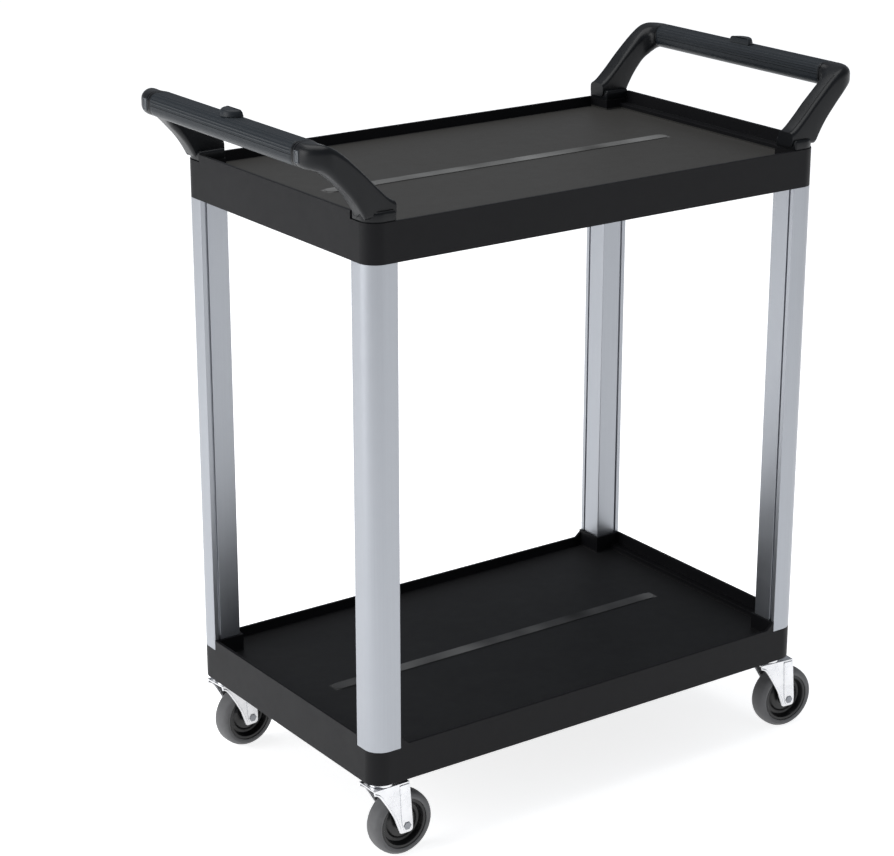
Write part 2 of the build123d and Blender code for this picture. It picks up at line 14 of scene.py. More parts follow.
import bmesh
import bpy
import numpy as np
from mathutils import Vector
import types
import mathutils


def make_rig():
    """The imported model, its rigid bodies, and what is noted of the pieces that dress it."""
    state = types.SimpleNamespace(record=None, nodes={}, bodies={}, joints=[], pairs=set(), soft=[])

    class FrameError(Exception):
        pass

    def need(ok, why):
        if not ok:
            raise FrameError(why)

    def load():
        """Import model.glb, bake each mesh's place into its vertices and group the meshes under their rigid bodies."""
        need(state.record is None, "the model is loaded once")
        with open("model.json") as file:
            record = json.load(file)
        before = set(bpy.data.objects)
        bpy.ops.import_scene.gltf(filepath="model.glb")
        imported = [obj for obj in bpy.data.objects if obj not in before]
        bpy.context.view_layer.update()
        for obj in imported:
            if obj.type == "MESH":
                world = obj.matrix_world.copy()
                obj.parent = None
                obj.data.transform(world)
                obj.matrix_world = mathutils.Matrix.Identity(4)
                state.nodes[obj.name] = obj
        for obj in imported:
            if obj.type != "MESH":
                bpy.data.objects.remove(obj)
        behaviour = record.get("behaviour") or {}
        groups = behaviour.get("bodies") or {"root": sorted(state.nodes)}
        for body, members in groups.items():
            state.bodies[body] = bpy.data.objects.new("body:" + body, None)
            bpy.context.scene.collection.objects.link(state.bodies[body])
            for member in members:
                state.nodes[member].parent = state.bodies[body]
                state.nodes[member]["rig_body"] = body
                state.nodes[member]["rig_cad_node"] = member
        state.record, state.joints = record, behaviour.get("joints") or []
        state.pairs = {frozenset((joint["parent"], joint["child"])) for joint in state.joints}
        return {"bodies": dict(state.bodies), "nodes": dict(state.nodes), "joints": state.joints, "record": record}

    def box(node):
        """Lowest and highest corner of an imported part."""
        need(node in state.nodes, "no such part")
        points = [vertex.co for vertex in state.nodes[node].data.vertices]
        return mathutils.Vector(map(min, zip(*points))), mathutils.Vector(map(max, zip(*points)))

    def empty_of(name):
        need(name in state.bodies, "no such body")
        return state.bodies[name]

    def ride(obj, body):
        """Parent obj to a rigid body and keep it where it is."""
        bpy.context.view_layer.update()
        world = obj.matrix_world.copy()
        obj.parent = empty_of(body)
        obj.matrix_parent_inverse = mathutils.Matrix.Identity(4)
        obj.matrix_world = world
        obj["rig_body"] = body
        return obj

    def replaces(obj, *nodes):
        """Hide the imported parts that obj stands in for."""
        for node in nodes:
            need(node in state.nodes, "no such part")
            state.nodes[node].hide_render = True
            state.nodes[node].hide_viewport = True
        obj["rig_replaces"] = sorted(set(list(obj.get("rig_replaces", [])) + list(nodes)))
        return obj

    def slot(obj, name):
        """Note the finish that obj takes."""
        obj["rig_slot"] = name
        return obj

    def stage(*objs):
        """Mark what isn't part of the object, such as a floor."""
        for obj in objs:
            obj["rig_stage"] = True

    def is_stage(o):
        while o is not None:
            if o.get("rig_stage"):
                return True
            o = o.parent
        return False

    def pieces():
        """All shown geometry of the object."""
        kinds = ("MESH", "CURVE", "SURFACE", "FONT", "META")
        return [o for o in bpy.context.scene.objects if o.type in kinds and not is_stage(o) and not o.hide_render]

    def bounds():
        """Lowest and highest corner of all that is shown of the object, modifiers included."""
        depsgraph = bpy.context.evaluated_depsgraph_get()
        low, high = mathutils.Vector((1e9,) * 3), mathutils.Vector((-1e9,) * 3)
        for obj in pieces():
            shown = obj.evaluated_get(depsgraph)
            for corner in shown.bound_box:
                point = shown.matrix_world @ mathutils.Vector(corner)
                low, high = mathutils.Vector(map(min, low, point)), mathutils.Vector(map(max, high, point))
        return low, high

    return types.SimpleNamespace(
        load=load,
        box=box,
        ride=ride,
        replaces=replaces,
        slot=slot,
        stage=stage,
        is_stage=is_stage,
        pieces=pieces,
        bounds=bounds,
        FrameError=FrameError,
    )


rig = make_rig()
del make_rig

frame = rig.load()
cad_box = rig.bounds()
nodes = frame["nodes"]
slot_of = {row["node"]: row["material_slot"] for row in frame["record"]["subparts"]}
print("nodes:", len(nodes), "bodies:", len(frame["bodies"]))

# %% [markdown]
# ## Reading sizes from the model
# Every new piece has to land exactly where the engineering model has its solid. One could copy numbers from
# a drawing, but then a change of size would leave the looks behind. So the main places are read from the
# boxes of the solids and from the joints: the tray gives the length and width, a post gives its own side, a
# rolling joint gives the axle. Fine details, such as a groove or a hub's profile, keep numbers of their own.

# %% Sizes that later cells use
MM = 0.001
ENDS = {"left": -1, "right": 1}
SIDES = {"front": -1, "rear": 1}
PLACES = [f"{side}_{end}" for end in ENDS for side in SIDES]


def box(node):
    """The lowest and highest corner of a solid, as two arrays of three numbers in metres."""
    low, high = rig.box(node)
    return np.array(low), np.array(high)


half_length, half_width = box("upper_tray")[1][:2]
print("tray half length and half width in mm:", round(half_length / MM, 1), round(half_width / MM, 1))

# %% [markdown]
# ## Shader maths as plain expressions
# A procedural finish is a small formula: noise times a depth, a mask that fades one colour into another.
# Drawn as nodes, each plus and times is a box with wires. Here one class wraps a socket and gives it
# Python's own operators, so `1 - mask * 0.5` adds the Math nodes by itself. Every other node comes from one
# method, `node`, which takes the node's type, its settings and the values or links of its sockets.


# %% The socket class and the finish class
class Wire:
    """A node socket that can be added, multiplied and compared; each operator adds one Math node."""

    def __init__(self, finish, socket):
        self.finish = finish
        self.socket = socket

    def maths(self, operation, first, second=0.5):
        return self.finish.maths(operation, first, second)

    def __add__(self, other):
        return self.maths("ADD", self, other)

    def __radd__(self, other):
        return self.maths("ADD", other, self)

    def __sub__(self, other):
        return self.maths("SUBTRACT", self, other)

    def __rsub__(self, other):
        return self.maths("SUBTRACT", other, self)

    def __mul__(self, other):
        return self.maths("MULTIPLY", self, other)

    def __rmul__(self, other):
        return self.maths("MULTIPLY", other, self)

    def __truediv__(self, other):
        return self.maths("DIVIDE", self, other)

    def __gt__(self, other):
        return self.maths("GREATER_THAN", self, other)

    def clamp(self):
        """The value held between 0 and 1."""
        return self.maths("MINIMUM", self.maths("MAXIMUM", self, 0.0), 1.0)


class Finish:
    """One material: a Principled shader, with constants on its own sockets, and the nodes that feed it."""

    def __init__(self, name, **constants):
        self.material = bpy.data.materials.new(name)
        self.material.use_nodes = True
        self.tree = self.material.node_tree
        self.shader = self.tree.nodes["Principled BSDF"]
        for key, value in constants.items():
            self.shader.inputs[key.replace("_", " ").title().replace("Ior", "IOR")].default_value = value

    def node(self, kind, settings=None, sockets=None, output=0):
        """Add a node: its settings first, then the values or links of its sockets; returns one output."""
        new = self.tree.nodes.new(kind)
        for key, value in (settings or {}).items():
            setattr(new, key, value)
        for key, value in (sockets or {}).items():
            if isinstance(value, Wire):
                self.tree.links.new(value.socket, new.inputs[key])
            else:
                new.inputs[key].default_value = value
        return Wire(self, new.outputs[output])

    def place(self):
        """The point on the piece, in metres, in the model's own frame."""
        return self.node("ShaderNodeTexCoord", output="Object")

    def axes(self):
        """The three coordinates of the point as separate values."""
        split = self.node("ShaderNodeSeparateXYZ", sockets={0: self.place()}).socket.node
        return [Wire(self, split.outputs[i]) for i in range(3)]

    def maths(self, operation, first, second=0.5, third=0.5):
        """One Math node on any mix of wires and numbers."""
        return self.node("ShaderNodeMath", {"operation": operation}, {0: first, 1: second, 2: third})

    def noise(self, scale, detail=2.0, roughness=0.5, stretch=None):
        """Soft random values round 0.5; scale is features per metre, stretch squeezes them on an axis."""
        vector = self.place()
        if stretch:
            vector = self.node("ShaderNodeVectorMath", {"operation": "MULTIPLY"}, {0: vector, 1: stretch})
        return self.node("ShaderNodeTexNoise",
                         sockets={"Vector": vector, "Scale": scale, "Detail": detail, "Roughness": roughness})

    def blend(self, mask, colour_a, colour_b):
        """Colour a where the mask is 0 and colour b where it is 1."""
        colours = {0: mask, 6: colour_a, 7: colour_b}
        return self.node("ShaderNodeMix", {"data_type": "RGBA"}, colours, output=2)

    def bump(self, height, distance, under=None):
        """A bump of a given height in metres; `under` is an earlier bump to build on."""
        sockets = {"Height": height, "Distance": distance}
        if under:
            sockets["Normal"] = under
        return self.node("ShaderNodeBump", sockets=sockets)

    def feed(self, **inputs):
        """Link values to the shader's sockets, such as base_color or roughness."""
        for key, value in inputs.items():
            self.tree.links.new(value.socket, self.shader.inputs[key.replace("_", " ").title()])
        return self.material


def srgb(red, green, blue):
    """A colour given as screen values from 0 to 255, as the linear colour that shaders use."""
    channels = np.array([red, green, blue]) / 255
    linear = np.where(channels <= 0.04045, channels / 12.92, ((channels + 0.055) / 1.055) ** 2.4)
    return (*linear.tolist(), 1.0)


# %% [markdown]
# ## The moulded plastics
# The trays and handles are injection-moulded polypropylene. Its skin copies the spark-eroded steel of the
# mould: a very fine, even grain that scatters light and turns black into charcoal at a low angle. On the tray
# floors that charcoal is painted sheen, and a lighter band along the middle is a painted highlight. Two
# noises make it, a grain of about half a millimetre and a slow waviness from uneven shrinkage. Both go into
# the bump, and a third noise varies the roughness, since no real surface shines evenly.


# %% Plastic finishes
LOWER_FLOOR, UPPER_FLOOR = 0.1495, 0.8205  # heights of the two load floors
# size of the painted highlight band along the middle of each load floor
BAND_HALF_LENGTH, BAND_HALF_WIDTH = half_length - 0.079, 0.0090
CHANNEL_LINE, CHANNEL_LOWEST, CHANNEL_REACH = 0.2030, 0.856, half_length + 0.030
RIM, CORNER_CUT = 0.005, 0.030  # how far the floor's colour stays inside the walls and the corners


def moulded(name, colour, light, roughness, grain, grain_depth, specular=0.2, marks=None):
    """Moulded plastic: two close colours mixed by slow noise, fine grain in the bump, uneven gloss.

    `marks` may change the colour and add a relief: a function of the finish, its colour and its cloudiness.
    """
    finish = Finish(name, roughness=roughness, specular_ior_level=specular)
    slow = finish.noise(14.0, 3.0)
    fine = finish.noise(grain, 2.0, 0.6)
    cloud = finish.noise(60.0, 2.0)
    tint = finish.blend(slow, colour, light)
    gloss = roughness + (slow - 0.5) * 0.10 + (cloud - 0.5) * 0.08
    skin = finish.bump(fine, grain_depth, finish.bump(slow, 0.0004))
    if marks:
        tint, relief = marks(finish, tint, cloud)
        skin = finish.bump(relief, 0.0008, skin)
    return finish.feed(base_color=tint, roughness=gloss, normal=skin)


def near(finish, value, target, reach, edge):
    """1 where a value is within `reach` of a target, falling to 0 over the width `edge`."""
    away = finish.maths("ABSOLUTE", value - target)
    return 1 - ((away - reach) / edge).clamp()


def tray_marks(finish, tint, cloud):
    """Painted sheen: the load floors painted paler, the lower one less in the upper tray's shade, and a lighter band
    painted as a highlight along the middle of each, with a faint bump.
    """
    x, y, z = finish.axes()
    inside = near(finish, x, 0.0, half_length - RIM, 0.0005) * near(finish, y, 0.0, half_width - RIM, 0.0005)
    from_middle = finish.maths("ABSOLUTE", x) + finish.maths("ABSOLUTE", y)
    inside = inside * near(finish, from_middle, 0.0, half_length + half_width - CORNER_CUT, 0.0005)
    # painted sheen: both load floors are painted paler than the walls, the upper most, the lower less because it lies
    # in the upper tray's shade
    upper = near(finish, z, UPPER_FLOOR, 0.0015, 0.0005) * inside
    lower = near(finish, z, LOWER_FLOOR, 0.0015, 0.0005) * inside
    # painted highlight: a light grey band along the middle of each floor, broken up by noise, stands in for the
    # reflection of the light; only its faint bump is relief
    band = near(finish, x, 0.0, BAND_HALF_LENGTH, 0.004) * near(finish, y, 0.0, BAND_HALF_WIDTH, 0.0008)
    worn = (0.55 + (finish.noise(11.0, 1.0) - 0.5) * 2.2).clamp()
    paler = finish.blend(lower, finish.blend(upper, tint, srgb(60, 59, 57)), srgb(30, 30, 31))
    return finish.blend(band * (upper + lower) * worn, paler, srgb(122, 122, 121)), band * cloud * 0.2


def arm_marks(finish, tint, cloud):
    """A fine channel along the top of each arm, close to its outer edge: a dip in the bump, darkened by painted shade.
    """
    x, y, z = finish.axes()
    across = near(finish, finish.maths("ABSOLUTE", y), CHANNEL_LINE, 0.0005, 0.0005)
    channel = across * (z > CHANNEL_LOWEST) * near(finish, x, 0.0, CHANNEL_REACH, 0.004)
    # painted shade: the channel is painted near black, standing in for the shade inside the groove
    return finish.blend(channel * 0.8, tint, srgb(4, 4, 5)), 0 - channel


tray_plastic = moulded("tray_plastic", srgb(14, 14, 17), srgb(20, 20, 22), 0.48, 1900.0, 0.00008,
                       0.14, tray_marks)
handle_plastic = moulded("handle_plastic", srgb(15, 16, 18), srgb(21, 23, 26), 0.34, 1500.0, 0.00006,
                         0.22, arm_marks)
grip_plastic = moulded("grip_plastic", srgb(30, 34, 38), srgb(37, 42, 47), 0.44, 1800.0, 0.00008)
grip_lower_plastic = moulded("grip_lower_plastic", srgb(31, 35, 39), srgb(36, 41, 46), 0.38, 1500.0, 0.00004)
clip_plastic = moulded("clip_plastic", srgb(31, 35, 39), srgb(38, 42, 46), 0.40, 1500.0, 0.00005)
tab_plastic = moulded("tab_plastic", srgb(60, 64, 68), srgb(74, 78, 83), 0.25, 1200.0, 0.00003, 0.5)
socket_plastic = moulded("socket_plastic", srgb(42, 42, 44), srgb(52, 52, 54), 0.45, 1500.0, 0.00004)
hub_plastic = moulded("hub_plastic", srgb(13, 13, 14), srgb(19, 19, 20), 0.28, 1300.0, 0.00003, 0.45)

# %% [markdown]
# ## The metals and the rubber
# The posts are extruded, so their marks run along them: die lines. A noise squeezed along the length draws
# them. The casters are pressed steel with a bright zinc plate, which is cloudy rather than mirror-like. The
# tyres are grey thermoplastic rubber, matt, with dust in the pores.


# %% Metal finishes
def extruded(name, colour, light):
    """Satin anodised aluminium: die lines from noise that is very long along Z and fine across it."""
    finish = Finish(name, metallic=1.0, roughness=0.42)
    lines = finish.noise(900.0, 2.0, 0.6, stretch=(1.0, 1.0, 0.004))
    cloud = finish.noise(25.0, 2.0)
    grain = finish.noise(4000.0, 1.0)
    tint = finish.blend(lines * 0.6 + cloud * 0.4, colour, light)
    gloss = 0.40 + (lines - 0.5) * 0.12 + (cloud - 0.5) * 0.06
    drawn = finish.bump(lines, 0.00002)
    return finish.feed(base_color=tint, roughness=gloss, normal=finish.bump(grain, 0.00001, drawn))


def plated(name, colour, dull, roughness):
    """Plated steel: a bright metal with cloudy patches and a faint orange-peel bump."""
    finish = Finish(name, metallic=1.0, roughness=roughness)
    cloud = finish.noise(90.0, 3.0)
    peel = finish.noise(700.0, 2.0)
    tint = finish.blend(cloud, colour, dull)
    gloss = roughness + (cloud - 0.5) * 0.16
    return finish.feed(base_color=tint, roughness=gloss, normal=finish.bump(peel, 0.00003))


def rubbery(name, colour, dusty):
    """Grey rubber: mottled colour, matt, with a fine pore bump."""
    finish = Finish(name, roughness=0.62, specular_ior_level=0.3)
    mottle = finish.noise(120.0, 4.0)
    pores = finish.noise(1500.0, 2.0)
    tint = finish.blend(mottle, colour, dusty)
    gloss = 0.60 + (mottle - 0.5) * 0.15
    return finish.feed(base_color=tint, roughness=gloss, normal=finish.bump(pores, 0.00008))


post_aluminium = extruded("post_aluminium", srgb(154, 157, 163), srgb(170, 173, 178))
zinc_plate = plated("zinc_plate", srgb(232, 232, 233), srgb(208, 209, 212), 0.26)
steel = plated("steel", srgb(150, 152, 156), srgb(118, 120, 125), 0.28)
tyre_rubber = rubbery("tyre_rubber", srgb(90, 90, 91), srgb(106, 106, 107))
FINISHES = {name: value for name, value in globals().items() if isinstance(value, bpy.types.Material)}
print("finishes:", sorted(FINISHES))

# %% [markdown]
# ## Dressing the solids that stay
# A solid whose shape is already right only needs its finish. Each one takes the material of its slot.

# %% Give each solid its material
for name, solid in nodes.items():
    solid.data.materials.clear()
    solid.data.materials.append(FINISHES[slot_of[name]])
print("solids dressed:", len(nodes))

# %% [markdown]
# ## Skins from rings
# Most parts of the trolley are long in one direction: a handle, a grip, a post, a wheel. Such a part can be
# drawn as a row of rings, where every ring has the same number of points. Joining each point to its
# neighbours gives four-sided faces, and a flat face closes each end. Because the points are one numpy
# array, a change of shape is a change of one formula.


# %% Ring and outline tools
body_of = {node: body for body, names in frame["record"]["behaviour"]["bodies"].items() for node in names}


def stitch(rings, loop=False):
    """Points and faces of a tube: ring i meets ring i + 1; the ends are capped unless the tube is a loop."""
    count, around, _ = rings.shape
    index = np.arange(count * around).reshape(count, around)
    here, ahead = (index, np.roll(index, -1, axis=0)) if loop else (index[:-1], index[1:])
    sides = np.stack([here, np.roll(here, -1, axis=1), np.roll(ahead, -1, axis=1), ahead], axis=-1)
    faces = sides.reshape(-1, 4).tolist()
    if not loop:
        faces += [index[0][::-1].tolist(), index[-1].tolist()]
    return rings.reshape(-1, 3), faces


def placed(name, mesh, node, sharp):
    """Put a mesh in place of a solid: smooth below the sharp angle, on the solid's body and slot."""
    mesh.shade_smooth()
    mesh.set_sharp_from_angle(angle=math.radians(sharp))
    mesh.materials.append(FINISHES[slot_of[node]])
    piece = bpy.data.objects.new(name, mesh)
    bpy.context.scene.collection.objects.link(piece)
    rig.ride(piece, body_of[node])
    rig.replaces(piece, node)
    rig.slot(piece, slot_of[node])
    return piece


def build(name, shells, node, sharp):
    """Make one piece from closed shells of points and faces, with every face turned outward."""
    points, faces, start = [], [], 0
    for shell_points, shell_faces in shells:
        points.append(shell_points)
        faces += [[i + start for i in face] for face in shell_faces]
        start += len(shell_points)
    mesh = bpy.data.meshes.new(name)
    mesh.from_pydata(np.concatenate(points), [], faces)
    work = bmesh.new()
    work.from_mesh(mesh)
    bmesh.ops.recalc_face_normals(work, faces=work.faces)
    work.to_mesh(mesh)
    work.free()
    return placed(name, mesh, node, sharp)


def rounded(corners, radii, steps=6):
    """A closed outline whose corners are replaced by arcs.

    At each corner the arc touches both sides at radius / tan(half the corner's angle) from the corner.
    """
    corners = np.asarray(corners, float)
    outline = []
    for before, corner, after, radius in zip(np.roll(corners, 1, 0), corners, np.roll(corners, -1, 0), radii):
        to_before = (before - corner) / np.linalg.norm(before - corner)
        to_after = (after - corner) / np.linalg.norm(after - corner)
        half_angle = math.acos(np.clip(to_before @ to_after, -1, 1)) / 2
        bisector = (to_before + to_after) / np.linalg.norm(to_before + to_after)
        centre = corner + bisector * radius / math.sin(half_angle)
        first = corner + to_before * radius / math.tan(half_angle) - centre
        last = corner + to_after * radius / math.tan(half_angle) - centre
        weight = np.linspace(0, 1, steps)[:, None]
        spoke = first * (1 - weight) + last * weight
        outline.append(centre + radius * spoke / np.linalg.norm(spoke, axis=1)[:, None])
    return np.concatenate(outline)


def inset(outline, depth):
    """Move each point of a counter-clockwise outline inward, along the mean normal of its two sides."""
    ahead = np.roll(outline, -1, 0) - outline
    ahead = ahead / np.linalg.norm(ahead, axis=1)[:, None]
    tangent = ahead + np.roll(ahead, 1, 0)
    normal = np.stack([-tangent[:, 1], tangent[:, 0]], axis=1)
    return outline + depth * normal / np.linalg.norm(normal, axis=1)[:, None]


def tower(outline, levels):
    """Rings of an upright shape: each level is a height and how far the outline shrinks there."""
    return np.stack([np.column_stack([inset(outline, depth), np.full(len(outline), height)])
                     for height, depth in levels])


def edge_levels(low, high, radius, steps=5):
    """Levels for `tower` that round its lower and upper edge by a quarter circle."""
    angle = np.linspace(0, math.pi / 2, steps)
    rise, shrink = radius * (1 - np.cos(angle)), radius * (1 - np.sin(angle))
    return list(zip(low + rise, shrink)) + list(zip(high - rise[::-1], shrink[::-1]))


def hermite(x, knots, values, slopes):
    """A smooth curve through the knots with the given slopes: one cubic between each pair of knots."""
    knots, values, slopes = np.asarray(knots), np.asarray(values), np.asarray(slopes)
    x = np.clip(x, knots[0], knots[-1])
    i = np.clip(np.searchsorted(knots, x, side="right") - 1, 0, len(knots) - 2)
    span = knots[i + 1] - knots[i]
    t = (x - knots[i]) / span
    return ((1 + 2 * t) * (1 - t) ** 2 * values[i] + t * (1 - t) ** 2 * span * slopes[i]
            + t ** 2 * (3 - 2 * t) * values[i + 1] + t ** 2 * (t - 1) * span * slopes[i + 1])


def softened(name, node, width, segments=2, limit=40.0):
    """A merged copy of a solid with its edges rounded: a Bevel on every edge sharper than the limit.

    The normals are then weighted by face area, so that the large flat faces stay flat beside the bevels.
    """
    work = bmesh.new()
    work.from_mesh(nodes[node].data)
    bmesh.ops.remove_doubles(work, verts=work.verts, dist=0.000005)
    bmesh.ops.dissolve_limit(work, angle_limit=math.radians(0.5), verts=work.verts, edges=work.edges)
    mesh = bpy.data.meshes.new(name)
    work.to_mesh(mesh)
    work.free()
    piece = placed(name, mesh, node, limit)
    bevel = piece.modifiers.new("edges", "BEVEL")
    bevel.width = width
    bevel.segments = segments
    bevel.limit_method = "ANGLE"
    bevel.angle_limit = math.radians(limit)
    bevel.use_clamp_overlap = True
    flatten = piece.modifiers.new("flat faces", "WEIGHTED_NORMAL")
    flatten.keep_sharp = True
    flatten.weight = 100
    return piece


print("pieces can be built from rings, from outlines or from softened solids")


# %% [markdown]
# ## Trays
# A moulding never has a knife edge: molten plastic would not fill it and the steel would chip. Every edge
# gets a radius of about a millimetre, which shows as the thin light line along each rim. The shape of the
# solid is already right, so a copy of it with its edges rounded is enough.

# %% Trays with moulded edges
for level in ("upper", "lower"):
    tray = softened(f"{level}_tray_moulding", f"{level}_tray", 1.1 * MM)
    print(tray.name, "faces:", len(tray.data.polygons))

# %% [markdown]
# ## Posts
# Each post is an extruded aluminium section: a square with one generous outer corner, small radii elsewhere
# and two narrow grooves. Its outline is the same at every height, so two rings would do; a few more keep
# the faces short.

# %% Four posts
post_low, post_high = box("post_front_left")
size = post_high[0] - post_low[0]
start, stop, bed = 6.5 * MM, 9.5 * MM, size - 3.0 * MM  # both sides and the bed of each groove
OUTER_RADIUS, FINE, TINY = 22.9 * MM, 1.2 * MM, 0.4 * MM
corners = [(0, 0), (size, 0), (size, start), (bed, start), (bed, stop), (size, stop),
           (size, size), (stop, size), (stop, bed), (start, bed), (start, size), (0, size)]
section = rounded(corners, [OUTER_RADIUS, FINE] + [TINY] * 4 + [FINE] + [TINY] * 4 + [FINE], steps=12)
levels = [(height, 0.02 * MM) for height in np.linspace(post_low[2], post_high[2], 9)]


def at_corner(outline, end, side, margin=0.0):
    """Turn an outline drawn from one corner of the tray to any of the four, counter-clockwise from above."""
    x, y = half_length - margin - outline[:, 0], half_width - margin - outline[:, 1]
    outline = np.column_stack([end * x, side * y])
    return outline if end * side > 0 else outline[::-1]


for end_name, end in ENDS.items():
    for side_name, side in SIDES.items():
        node = f"post_{side_name}_{end_name}"
        post = build(f"{node}_extrusion", [stitch(tower(at_corner(section, end, side), levels))], node, 50.0)
        print(post.name, "faces:", len(post.data.polygons))

# %% [markdown]
# ## Handles
# A handle is one hollow moulding that runs in a U: foot, arm, bend, bar, bend, arm, foot. Seen from above
# it lies between an outer and an inner curve; seen from the side its top and its underside are two smooth
# curves that flow from the bar down to the foot. Each ring is a rounded rectangle set between those four
# curves. The fine channel along the top of each arm is shallow enough to be drawn by the finish: a dip in the
# bump, darkened by painted shade.

# %% Shape of a handle
handle_low = box("handle_left")[0]
grip_low, grip_high = box("grip_top_left")
bar_top, bar_bottom = grip_high[2], box("grip_bottom_left")[0][2]
bar_depth = grip_high[0] - grip_low[0]
bar_outer = -handle_low[0]
bar_inner = bar_outer - bar_depth
grip_end = grip_high[1]
handle_seat = handle_low[2] + 30.0 * MM  # above the spigots that go down into the tray
arm_outer, arm_inner = 209.5 * MM, 182.0 * MM
OUTER_BEND, INNER_BEND = 31.0 * MM, 13.0 * MM
FOOT_TIP = half_length - 42.0 * MM
foot_level = handle_seat + 4.0 * MM


def arm_top(x):
    """Height of the arm's upper edge above a point at distance x from the middle of the trolley."""
    reach = [FOOT_TIP, half_length - 0.019, half_length + 0.002, (bar_inner + bar_outer) / 2]
    return hermite(x, reach, [foot_level + 0.018, foot_level + 0.036, bar_top - 0.037, bar_top],
                   [0.35, 0.95, 0.95, 0.0])


def arm_under(x):
    """Height of the arm's lower edge."""
    reach = [half_length, half_length + 0.027, bar_outer - 0.011]
    return hermite(x, reach, [foot_level, bar_bottom - 0.026, bar_bottom], [2.0, 1.05, 0.0])


def arm_section(steps=7):
    """The corner each point of the section belongs to, and its direction from that corner's centre.

    Corners count 0 to 1 from the outer curve to the inner one, and 0 to 1 upward. Corner and direction stay
    apart so that one radius holds at any size.
    """
    angle = np.linspace(0, math.pi / 2, steps)
    quarter = np.column_stack([np.cos(angle), np.sin(angle)])
    corners = np.array([(1, 1), (0, 1), (0, 0), (1, 0)], float)
    turns = [quarter, np.column_stack([-quarter[:, 1], quarter[:, 0]]), -quarter,
             np.column_stack([quarter[:, 1], -quarter[:, 0]])]
    return np.repeat(corners, steps, axis=0), np.concatenate(turns)


# the bar past each end of the grip: two fine collar grooves, then the slimmer core under the grip
COLLAR = np.array([(8.0, 0.0), (7.6, 0.9), (7.2, 0.9), (6.8, 0.0), (3.4, 0.0), (3.0, 0.9), (2.6, 0.9),
                   (2.2, 0.0), (0.0, 0.0), (0.0, 4.0)]) * MM


def plan_curve(arm_y, bar_x, bend_radius):
    """One side of the U seen from above: straight along the arm, a quarter circle, straight along the bar."""
    bend = np.linspace(0, math.pi / 2, 17)[1:]
    centre = np.array([bar_x - bend_radius, arm_y - bend_radius])
    arm = np.column_stack([FOOT_TIP + np.linspace(0, 1, 30) * (centre[0] - FOOT_TIP), np.full(30, arm_y)])
    turn = centre + bend_radius * np.column_stack([np.sin(bend), np.cos(bend)])
    bar = np.column_stack([np.full(len(COLLAR), bar_x), grip_end + COLLAR[:, 0]])
    front = np.concatenate([arm, turn, bar])
    return np.concatenate([front, front[::-1] * (1, -1)])[:, None, :]


def handle_rings(end):
    """Rings of one handle, from one foot round to the other.

    A point lies between the outer and inner curve by its share across, and between the lower and upper edge
    by its share upward; the corner radius and the collar's depth are taken off inside those limits.
    """
    outer, inner = plan_curve(arm_outer, bar_outer, OUTER_BEND), plan_curve(arm_inner, bar_inner, INNER_BEND)
    plain = np.zeros(len(outer) // 2 - len(COLLAR))
    shrink = np.concatenate([plain, COLLAR[:, 1], COLLAR[::-1, 1], plain])[:, None]
    corner, turn = arm_section()
    middle_x = (outer + inner)[:, 0, 0] / 2
    width = np.linalg.norm(inner - outer, axis=2)
    height = (arm_top(middle_x) - arm_under(middle_x))[:, None]
    wide = np.clip((middle_x - half_length) / (bar_outer - half_length) * 1.6, 0, 1)[:, None]
    radius = np.minimum(0.006 + 0.005 * wide, np.minimum(width, height) * 0.40)
    offset = radius[:, :, None] * (turn - np.sign(corner - 0.5))
    across = (shrink + corner[:, 0] * (width - 2 * shrink) + offset[:, :, 0]) / width
    plan = outer + (inner - outer) * np.clip(across, 0, 1)[:, :, None]
    # between the arms the bar keeps one height; the arms' slopes blend in round the bend
    share = np.clip((np.abs(plan[:, :, 1]) - grip_end) / (arm_inner - grip_end), 0, 1)
    share = share * share * (3 - 2 * share)
    low = bar_bottom + share * (arm_under(plan[:, :, 0]) - bar_bottom)
    high = bar_top + share * (arm_top(plan[:, :, 0]) - bar_top)
    rise = shrink + corner[:, 1] * (high - low - 2 * shrink) + offset[:, :, 1]
    return np.dstack([end * plan[:, :, 0], plan[:, :, 1], low + rise])


def handle_base(end, side):
    """The block between the tray's corner and the arm, with a fine dark seam under it."""
    width = 38.7 * MM
    outline = rounded([(0, 0), (width, 0), (width, width), (0, width)], np.array([21.9, 3.0, 3.0, 3.0]) * MM,
                      steps=14)
    seam = handle_seat + np.array([0.0, 0.7, 0.9, 1.4]) * MM
    levels = list(zip(seam, np.array([0.9, 0.9, 0.2, 0.0]) * MM))
    levels += edge_levels(handle_seat + 3 * MM, handle_seat + 13 * MM, 4.0 * MM)[5:]
    return tower(at_corner(outline, end, side, 1.0 * MM), levels)


for end_name, end in ENDS.items():
    shells = [stitch(handle_rings(end))] + [stitch(handle_base(end, side)) for side in SIDES.values()]
    handle = build(f"handle_{end_name}_moulding", shells, f"handle_{end_name}", 40.0)
    print(handle.name, "faces:", len(handle.data.polygons))

# %% [markdown]
# ## Grips
# Two half shells snap together round each bar. The upper one has fine ribs running along it, and the lower
# one is smooth; they meet in a thin line at mid height. Each ring is half a rounded rectangle, and the ribs
# are a wave added along the ring's own length, so they follow the shell round its corners.


